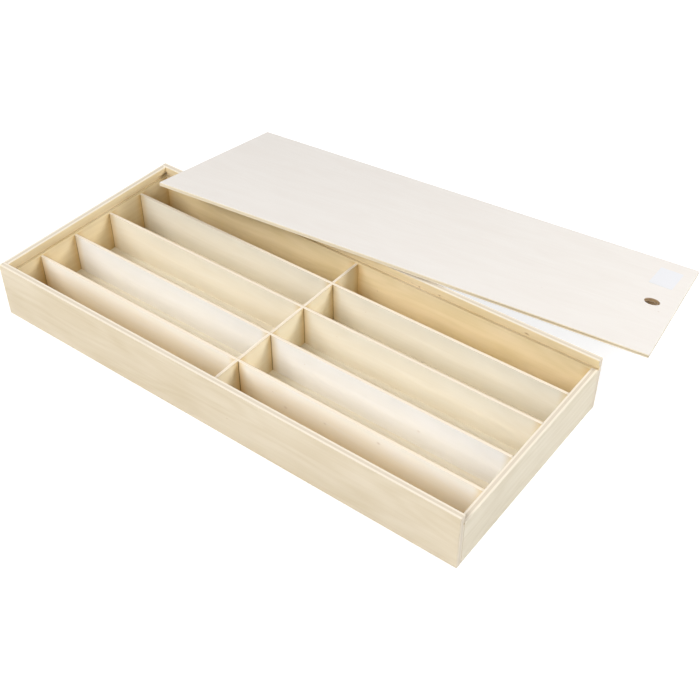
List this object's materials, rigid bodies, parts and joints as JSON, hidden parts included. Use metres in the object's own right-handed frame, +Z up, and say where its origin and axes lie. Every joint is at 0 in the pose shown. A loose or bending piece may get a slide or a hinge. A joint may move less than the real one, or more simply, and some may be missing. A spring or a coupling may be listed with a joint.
{
  "type": "compartment box with a sliding lid",
  "caption": "Long shallow plywood box with full-length compartments, a low wall at one end and grooves for a thin flat lid, which is off and leans on the back wall.",
  "frame": {"origin": "centre of the box's underside, on the table; the leaning lid isn't counted", "axes": "+X along the box's length, towards the low wall that the lid slides over; +Y towards the back wall, which the lid leans on; +Z up"},
  "size_m": [0.5065, 0.4296, 0.0686],
  "materials": {
    "wall_plywood": "bare sanded birch plywood, 6 mm, edges showing its layers",
    "base_plywood": "bare sanded plywood, 3 mm",
    "divider_plywood": "bare sanded plywood, 3 mm",
    "lid_plywood": "bare sanded pale plywood, 3.5 mm",
    "label_paper": "blank white self-adhesive paper"
  },
  "bodies": {
    "box": {"base_panel": "base_plywood", "front_wall": "wall_plywood", "back_wall": "wall_plywood", "left_wall": "wall_plywood", "right_wall": "wall_plywood", "cross_divider": "divider_plywood", "long_divider_1": "divider_plywood", "long_divider_2": "divider_plywood", "long_divider_3": "divider_plywood", "long_divider_4": "divider_plywood"},
    "lid": {"sliding_lid": "lid_plywood"}
  },
  "joints": [
    {"name": "lid_lift", "type": "slide", "parent": "box", "child": "lid", "axis": [0, 0, 1], "range_m": [0, 0.15]}
  ]
}
